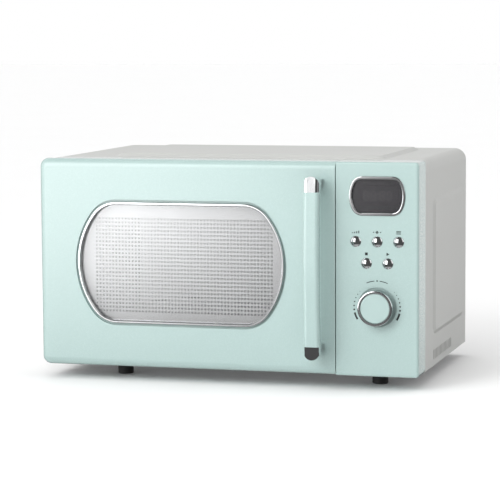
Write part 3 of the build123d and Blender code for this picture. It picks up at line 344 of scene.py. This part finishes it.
def silvered_pane():
    """The door's outer pane: clear, with a thin silver film."""
    paint = Finish("silvered_pane", metallic=0.85, ior=1.5, coat_weight=1.0, coat_roughness=0.02)
    haze = paint.noise(14.0, 3.0)
    paint.set("Base Color", paint.blend(haze, shade(0.80, 0.81, 0.82), shade(0.86, 0.87, 0.88)))
    paint.set("Roughness", 0.05 + haze * 0.03)
    paint.set("Alpha", 0.17 + haze * 0.03)
    return paint.material


def clear_film():
    """The door's inner window, a clear plastic film with faint smears."""
    paint = Finish("clear_film", ior=1.5, coat_weight=0.6, coat_roughness=0.05)
    smear = paint.noise(22.0, 4.0, (1.0, 1.0, 0.35))
    paint.set("Base Color", paint.blend(smear, shade(0.72, 0.74, 0.75), shade(0.80, 0.82, 0.83)))
    paint.set("Roughness", 0.08 + smear * 0.14)
    paint.set("Alpha", 0.14 + smear * 0.06)
    return paint.material


def pressed_glass():
    """The turntable tray's clear pressed glass."""
    paint = Finish("pressed_glass", ior=1.5, transmission_weight=1.0)
    ripple = paint.noise(60.0, 2.0)
    paint.set("Base Color", paint.blend(ripple, shade(0.86, 0.93, 0.91), shade(0.90, 0.95, 0.94)))
    paint.set("Roughness", 0.02 + ripple * 0.04)
    paint.emboss(ripple, 0.00006)
    return paint.material


def screen_silver():
    """Silver lacquer on the perforated screen and its pan."""
    paint = Finish("screen_silver", metallic=0.05)
    grain = paint.noise(700.0)
    paint.set("Base Color", paint.blend(paint.noise(6.0), shade(0.36, 0.36, 0.365), shade(0.42, 0.42, 0.425)))
    paint.set("Roughness", 0.30 + grain * 0.12)
    paint.emboss(grain, 0.00002)
    return paint.material


def smoked_lens():
    """The display's dark smoked lens."""
    paint = Finish("smoked_lens", ior=1.5, coat_weight=1.0, coat_roughness=0.04)
    tint = paint.noise(30.0)
    paint.set("Base Color", paint.blend(tint, shade(0.044, 0.042, 0.046), shade(0.058, 0.056, 0.062)))
    paint.set("Roughness", 0.16 + tint * 0.06)
    paint.set("Alpha", 0.68 + tint * 0.03)
    return paint.material


def moulded(name, dark, light, roughness, grain_depth=0.00005):
    """A matt moulding with spark-eroded grain."""
    paint = Finish(name)
    grain = paint.noise(900.0, 4.0)
    paint.set("Base Color", paint.blend(paint.noise(20.0), shade(*dark), shade(*light)))
    paint.set("Roughness", roughness + grain * 0.14)
    paint.emboss(grain, grain_depth)
    return paint.material


def circuit_board():
    """Green lacquer over copper tracks, with bright pads."""
    paint = Finish("circuit_board", coat_weight=0.3, coat_roughness=0.2)
    tracks = (paint.cells(260.0, "Distance", (1.0, 1.0, 2.4)) * 40.0).sine() > 0.35
    pads = paint.cells(330.0) < 0.18
    lacquer = paint.blend(tracks, shade(0.020, 0.130, 0.055), shade(0.035, 0.200, 0.085))
    paint.set("Base Color", paint.blend(pads, lacquer, shade(0.62, 0.60, 0.55)))
    paint.set("Metallic", pads * 0.9)
    paint.set("Roughness", 0.42 - pads * 0.12)
    paint.emboss(tracks + pads, 0.00006)
    return paint.material


def bright_aluminium():
    """Drawn aluminium with long draw lines."""
    paint = Finish("bright_aluminium", metallic=1.0)
    drawn = paint.noise(420.0, 3.0, (0.08, 1.0, 1.0))
    paint.set("Base Color", paint.blend(drawn, shade(0.68, 0.69, 0.70), shade(0.80, 0.81, 0.82)))
    paint.set("Roughness", 0.26 + drawn * 0.2)
    paint.emboss(drawn, 0.00004)
    return paint.material


def laminations():
    """Varnished steel laminations, stacked front to back."""
    paint = Finish("laminations", metallic=0.6)
    layers = (paint.axis("Y") * 9000.0).sine()
    rust = paint.noise(90.0, 5.0)
    paint.set("Base Color", paint.blend(rust, shade(0.055, 0.055, 0.060), shade(0.13, 0.115, 0.10)))
    paint.set("Roughness", 0.38 + rust * 0.25)
    paint.emboss(layers, 0.00012)
    return paint.material


def winding_wire():
    """Lacquered copper wire wound in close turns."""
    paint = Finish("winding_wire", metallic=0.85, coat_weight=0.5, coat_roughness=0.15)
    turns = (paint.axis("Z") * 6500.0).sine()
    tint = paint.noise(35.0)
    paint.set("Base Color", paint.blend(tint, shade(0.42, 0.15, 0.055), shade(0.60, 0.25, 0.10)))
    paint.set("Roughness", 0.25 + tint * 0.12)
    paint.emboss(turns, 0.0002)
    return paint.material


def mica_sheet():
    """Pale flaky mica."""
    paint = Finish("mica_sheet")
    flakes = paint.cells(240.0, "Color")
    paint.set("Base Color", paint.blend(flakes, shade(0.42, 0.37, 0.25), shade(0.60, 0.56, 0.44)))
    paint.set("Roughness", 0.30 + paint.noise(120.0) * 0.3)
    paint.emboss(flakes, 0.00008)
    return paint.material


def panel_ink():
    """Dark grey printing ink."""
    paint = Finish("panel_ink")
    speck = paint.noise(2500.0)
    paint.set("Base Color", paint.blend(speck, shade(0.012, 0.016, 0.016), shade(0.020, 0.026, 0.026)))
    paint.set("Roughness", 0.42 + speck * 0.1)
    return paint.material


mint = gloss_mint()
knob_mint = gloss_mint("knob_mint", 0.34)
chrome = polished_chrome()
silver = screen_silver()
ink = panel_ink()
finishes = {
    "mint": mint,
    "cabinet_paint": powder_grey(),
    "cavity_paint": oven_enamel(),
    "plate_paint": satin_plate(),
    "zinc_steel": zinc_sheet(),
    "chrome": chrome,
    "pane": silvered_pane(),
    "tray_glass": pressed_glass(),
    "screen_steel": silver,
    "dark_lens": smoked_lens(),
    "rubber": moulded("black_rubber", (0.012, 0.012, 0.012), (0.022, 0.022, 0.022), 0.55, 0.0001),
    "grey_plastic": moulded("grey_moulding", (0.24, 0.25, 0.26), (0.28, 0.29, 0.30), 0.38),
    "black_plastic": moulded("black_moulding", (0.018, 0.018, 0.020), (0.030, 0.030, 0.032), 0.40),
    "white_plastic": moulded("white_moulding", (0.66, 0.66, 0.63), (0.74, 0.74, 0.71), 0.36),
    "board": circuit_board(),
    "aluminium": bright_aluminium(),
    "core_steel": laminations(),
    "copper": winding_wire(),
    "mica": mica_sheet(),
}
for subpart in frame["record"]["subparts"]:
    node = frame["nodes"][subpart["node"]]
    node.data.materials.clear()
    node.data.materials.append(finishes[subpart["material_slot"]])
own_finish = {"inner_window": clear_film(), "knob": knob_mint, "choke_frame": silver}
for name, finish in own_finish.items():
    frame["nodes"][name].data.materials[0] = finish


# ---------------------------------------------------------------- door screen
def screen_tile(pitch, row, hole):
    """One cell of the screen: a hole inside a rectangle of sheet, facing the front."""
    clear_selection()
    bpy.ops.mesh.primitive_circle_add(vertices=12, radius=hole, rotation=(QUARTER_TURN, 0, 0))
    tile = bpy.context.object
    bpy.ops.object.transform_apply(rotation=True)
    open_mesh(tile)
    bpy.ops.mesh.select_all(action="SELECT")
    bpy.ops.mesh.extrude_edges_move()
    bpy.ops.transform.resize(value=(4.0, 1.0, 4.0))
    bpy.ops.object.mode_set(mode="OBJECT")
    for vertex in tile.data.vertices:
        if vertex.co.xz.length > 2 * hole:
            reach = max(abs(vertex.co.x) / (pitch / 2), abs(vertex.co.z) / (row / 2))
            vertex.co.x /= reach
            vertex.co.z /= reach
    corner = [vertex for vertex in tile.data.vertices if vertex.co.xz.length > 1.2 * hole]
    for side_x in (-1, 1):
        for side_z in (-1, 1):
            spot = Vector((side_x * pitch / 2, 0, side_z * row / 2))
            nearest = min(corner, key=lambda vertex: (vertex.co - spot).length)
            nearest.co = spot
    return tile


def array(piece, count, step):
    """Repeat a piece along a step, welding neighbours."""
    modify(piece, "ARRAY", count=count, use_relative_offset=False, use_constant_offset=True,
           constant_offset_displace=step, use_merge_vertices=True, merge_threshold=2 * WELD)


def perforated_screen():
    """The door's steel screen, with its rows of holes cut right through."""
    low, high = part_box("door_screen")
    trim_low, trim_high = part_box("window_trim")
    sheet = high.y - low.y
    width, height = SCREEN_COLUMNS * SCREEN_PITCH, SCREEN_ROWS * SCREEN_ROW
    centre = (trim_low + trim_high) / 2 + SCREEN_SHIFT
    centre.y = low.y
    tile = screen_tile(SCREEN_PITCH, SCREEN_ROW, SCREEN_HOLE_RADIUS)
    array(tile, SCREEN_COLUMNS, (SCREEN_PITCH, 0, 0))
    array(tile, SCREEN_ROWS, (0, 0, SCREEN_ROW))
    tile.location = centre - Vector(((width - SCREEN_PITCH) / 2, 0, (height - SCREEN_ROW) / 2))
    clear_selection()
    bpy.ops.mesh.primitive_plane_add(size=1.0, rotation=(QUARTER_TURN, 0, 0), location=centre)
    margin = bpy.context.object
    margin.scale = (width, height, 1.0)
    bpy.ops.object.transform_apply(location=True, rotation=True, scale=True)
    open_mesh(margin)
    bpy.ops.mesh.select_all(action="SELECT")
    bpy.ops.mesh.extrude_edges_move()
    spare = ((high.x - low.x) / width, 1.0, (high.z - low.z) / height)
    bpy.ops.transform.resize(value=spare, center_override=centre)
    middle = (low + high) / 2
    bpy.ops.transform.translate(value=(middle.x - centre.x, 0, middle.z - centre.z))
    pick(margin, "FACE", lambda at, item: (at - centre).length < MM)
    bpy.ops.mesh.delete(type="FACE")
    bpy.ops.object.mode_set(mode="OBJECT")
    screen = join([tile, margin])
    bpy.ops.object.transform_apply(location=True, rotation=True, scale=True)
    open_mesh(screen)
    close_mesh()
    modify(screen, "SOLIDIFY", thickness=sheet, offset=0.0)
    screen.location.y = low.y - min(vertex.co.y for vertex in screen.data.vertices)
    return fit(screen, "perforated_screen", "door", silver, ["door_screen"])


perforated_screen()


# ---------------------------------------------------------------- latch spring
def coil_spring():
    """The latch's coil spring, wound up between the hook bar and the top of the door."""
    low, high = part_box("latch_spring")
    wire, turns = SPRING_WIRE_RADIUS, SPRING_TURNS
    clear_selection()
    bpy.ops.mesh.primitive_circle_add(vertices=8, radius=wire, rotation=(QUARTER_TURN, 0, 0),
                                      location=((high.x - low.x) / 2 - wire, 0, wire))
    coil = bpy.context.object
    bpy.ops.object.transform_apply(location=True, rotation=True)
    modify(coil, "SCREW", axis="Z", angle=2 * math.pi, iterations=turns, steps=14, render_steps=14,
           screw_offset=(high.z - low.z - 2 * wire) / turns, use_merge_vertices=True)
    open_mesh(coil)
    bpy.ops.mesh.select_all(action="SELECT")
    bpy.ops.mesh.fill_holes(sides=0)
    close_mesh()
    coil.location = ((low.x + high.x) / 2, (low.y + high.y) / 2, low.z)
    fit(coil, "coil_spring", "door", finishes["zinc_steel"], ["latch_spring"])
    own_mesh(coil)


coil_spring()


# ---------------------------------------------------------------- printed marks
def printed_mark(outline, spot):
    """A flat mark on the panel: an outline of (x, z) points, in millimetres, round a spot."""
    clear_selection()
    bpy.ops.mesh.primitive_circle_add(vertices=len(outline), radius=MM, fill_type="NGON")
    mark = bpy.context.object
    panel_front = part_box("control_panel")[0].y
    for vertex, (x, z) in zip(mark.data.vertices, outline):
        vertex.co = (spot[0] + x * MM, panel_front - MARK_LIFT, spot[1] + z * MM)
    open_mesh(mark)
    bpy.ops.mesh.select_all(action="SELECT")
    bpy.ops.mesh.extrude_region_move(TRANSFORM_OT_translate={"value": (0, MARK_LIFT / 2, 0)})
    close_mesh()
    return mark


def ring_part(inner, outer, start, end, steps=8):
    """The outline of a piece of a flat ring, in millimetres and degrees."""
    turns = [math.radians(start + (end - start) * step / steps) for step in range(steps + 1)]
    return ([(outer * math.cos(turn), outer * math.sin(turn)) for turn in turns]
            + [(inner * math.cos(turn), inner * math.sin(turn)) for turn in reversed(turns)])


def bar(x, z, length, width, turn=0.0):
    """The outline of a short straight stroke."""
    turn = math.radians(turn)
    along = (math.cos(turn) * length / 2, math.sin(turn) * length / 2)
    across = (-math.sin(turn) * width / 2, math.cos(turn) * width / 2)
    return [(x + a * along[0] + b * across[0], z + a * along[1] + b * across[1])
            for a, b in ((-1, -1), (1, -1), (1, 1), (-1, 1))]


def disc(x, z, radius, corners=10):
    """The outline of a dot."""
    turns = [2 * math.pi * k / corners for k in range(corners)]
    return [(x + radius * math.cos(turn), z + radius * math.sin(turn)) for turn in turns]


def middle_of(node):
    """The middle of a CAD node's box, as (x, z)."""
    low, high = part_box(node)
    return ((low.x + high.x) / 2, (low.z + high.z) / 2)


def printed_set(name, outlines, spot):
    """Several marks round one spot, as one piece on the panel."""
    marks = join([printed_mark(outline, spot) for outline in outlines])
    return fit(marks, name, "cabinet", ink)


def knob_scale():
    """Dots that grow round the knob, a bar at each end, and a turning arc over it."""
    outlines = []
    for turn, size in DOTS:
        for side in (turn, 180.0 - turn):
            at = math.radians(side)
            outlines.append(disc(DOT_RING * math.cos(at), DOT_RING * math.sin(at), size))
    outlines.append(ring_part(*BAR_RING, -32.0, -14.0))
    outlines.append(ring_part(*BAR_RING, 194.0, 212.0))
    outlines.append(ring_part(*ARC_RING, 66.0, 84.0))
    outlines.append(ring_part(*ARC_RING, 96.0, 114.0))
    outlines.append(disc(0, 29.9, 0.9))
    printed_set("knob_scale", outlines, middle_of("knob_rim"))


def button_signs():
    """A small plain sign over each button: power level, defrost, menu, stop and start."""
    high = SIGN_RISE
    signs = {
        "power_button": [bar(-3.6 + 2.4 * step, high - 0.9 + 0.3 * step, 1.1, 1.2 + 0.6 * step)
                         for step in range(4)],
        "defrost_button": [bar(0, high, 3.8, 0.7, turn) for turn in (0, 60, 120)]
        + [disc(4.0 * side, high, 0.7) for side in (-1, 1)],
        "menu_button": [bar(0, high + step, 5.4, 0.75) for step in (-1.4, 0, 1.4)],
        "stop_button": [bar(0, high, 3.2, 3.2)],
        "start_button": [[(-1.5, high - 1.9), (1.9, high), (-1.5, high + 1.9)]],
    }
    for button, outlines in signs.items():
        printed_set(button.replace("button", "sign"), outlines, middle_of(button))


def display_digits():
    """The display's segments, four digits and a colon, behind the lens, given a faint painted glow."""
    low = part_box("display_module")[0]
    centre = middle_of("display_module")
    outlines = []
    wide, tall, stroke = 5.0, 10.0, 1.1
    for place in DIGIT_PLACES:
        for step in (-tall / 2, 0, tall / 2):
            outlines.append(bar(place, step, wide - 1.6, stroke))
        for side in (-1, 1):
            for step in (-tall / 4, tall / 4):
                outlines.append(bar(place + side * wide / 2, step, tall / 2 - 1.4, stroke, 90))
    outlines += [disc(0, -2.2, 0.7), disc(0, 2.2, 0.7)]
    marks = join([printed_mark(outline, centre) for outline in outlines])
    marks.location.y = low.y - DIGIT_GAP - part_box("control_panel")[0].y
    # Painted glow: the unlit segments emit a faint light so that they show through the smoked lens.
    glow = Finish("glowing_segments", emission_strength=0.35)
    speck = glow.noise(900.0)
    glow.set("Emission Color", glow.blend(speck, shade(0.80, 0.82, 0.78), shade(0.90, 0.92, 0.88)))
    glow.set("Base Color", glow.blend(speck, shade(0.55, 0.56, 0.54), shade(0.62, 0.63, 0.61)))
    glow.set("Roughness", 0.5 + speck * 0.1)
    fit(marks, "display_segments", "cabinet", glow.material)


knob_scale()
button_signs()
display_digits()


# ---------------------------------------------------------------- studio
def sky():
    """The studio around the object: a wide bright softbox at the left, a paler one at the right."""
    world = bpy.data.worlds.new("studio_sky")
    bpy.context.scene.world = world
    world.use_nodes = True
    tree = Wiring(world.node_tree)
    way = tree.node("ShaderNodeTexCoord", {}, {}).outputs["Generated"]
    split = tree.node("ShaderNodeSeparateXYZ", {}, {0: way})
    x, y, z = (Field(tree, split.outputs[letter]) for letter in "XYZ")
    turn = Field(tree, tree.node("ShaderNodeMath", {"operation": "ARCTAN2"}, {0: x, 1: 0 - y}).outputs[0])
    turn = turn * DEGREES
    rise = Field(tree, tree.node("ShaderNodeMath", {"operation": "ARCSINE"}, {0: z}).outputs[0])
    rise = rise * DEGREES
    left = tree.ramp(turn, -112.0, -88.0) * 0.28 + tree.ramp(turn, -55.0, -42.0) * 0.72
    left = left * (1 - tree.ramp(turn, -21.8, -11.0))
    left = left * tree.ramp(rise, -9.8, -4.0) * (1 - tree.ramp(rise, 36.0, 54.0))
    right = tree.ramp(turn, 58.0, 76.0) * (1 - tree.ramp(turn, 130.0, 150.0))
    right = right * tree.ramp(rise, -2.0, 8.0) * (1 - tree.ramp(rise, 50.0, 65.0))
    rear = tree.ramp(turn * turn, 130.0 ** 2, 150.0 ** 2) * tree.ramp(rise, -14.0, -6.0)
    rear = rear * (1 - tree.ramp(rise, 45.0, 60.0))
    under = 1 - tree.ramp(rise, -58.0, -42.0)
    glow = BASE_GLOW + left * LEFT_GLOW + right * RIGHT_GLOW
    glow = glow + rear * REAR_GLOW + under * UNDER_GLOW
    seen = tree.node("ShaderNodeLightPath", {}, {}).outputs["Is Camera Ray"]
    plain = tree.node("ShaderNodeBackground", {}, {"Color": shade(1.0, 1.0, 1.0), "Strength": 1.0})
    lit = tree.node("ShaderNodeBackground", {}, {"Color": shade(1.0, 1.0, 1.0), "Strength": glow})
    mixed = tree.node("ShaderNodeMixShader", {}, {0: seen, 1: lit.outputs[0], 2: plain.outputs[0]})
    tree.node("ShaderNodeOutputWorld", {}, {"Surface": mixed.outputs[0]})


def studio():
    """A pale floor, soft lights and the camera."""
    sky()
    clear_selection()
    bpy.ops.mesh.primitive_plane_add(size=40.0, location=(0, 0, 0))
    floor = bpy.context.object
    floor.name = "studio_floor"
    ground = Finish("studio_floor")
    ground.set("Base Color", ground.blend(ground.noise(3.0), shade(0.95, 0.95, 0.95), shade(0.97, 0.97, 0.97)))
    ground.set("Roughness", 0.8 + ground.noise(40.0) * 0.1)
    floor.data.materials.append(ground.material)
    floor.visible_glossy = False
    aim = Vector((0, 0, 0.12))
    for name, kind, spot, size, power in (("overhead_light", "SUN", (-0.3, 0.1, 2.2), 1.4, 1.5),
                                          ("key_softbox", "AREA", (-0.14, -1.35, 0.85), 0.9, 8.6)):
        clear_selection()
        bpy.ops.object.light_add(type=kind, location=spot)
        lamp = bpy.context.object
        lamp.name = name
        lamp.data.energy = power
        if kind == "SUN":
            lamp.data.angle = size
        else:
            lamp.data.size = size
        lamp.rotation_euler = (aim - Vector(spot)).to_track_quat("-Z", "Y").to_euler()
        lamp.visible_camera = False
        lamp.visible_glossy = False
    clear_selection()
    eye = Vector((0.7166, -2.5215, 0.4120))
    yaw, pitch, roll = math.radians(16.04), math.radians(5.86), math.radians(-0.33)
    bpy.ops.object.camera_add(location=eye)
    camera = bpy.context.object
    camera.name = "studio_camera"
    look = Vector((-math.sin(yaw) * math.cos(pitch), math.cos(yaw) * math.cos(pitch), -math.sin(pitch)))
    camera.rotation_euler = look.to_track_quat("-Z", "Y").to_euler()
    bpy.context.view_layer.update()
    camera.rotation_euler.rotate_axis("Z", roll)
    camera.data.lens = 157.8
    camera.data.sensor_width = 36.0
    camera.data.clip_end = 60.0
    bpy.context.scene.camera = camera
    bpy.context.scene.view_settings.view_transform = "Standard"


studio()
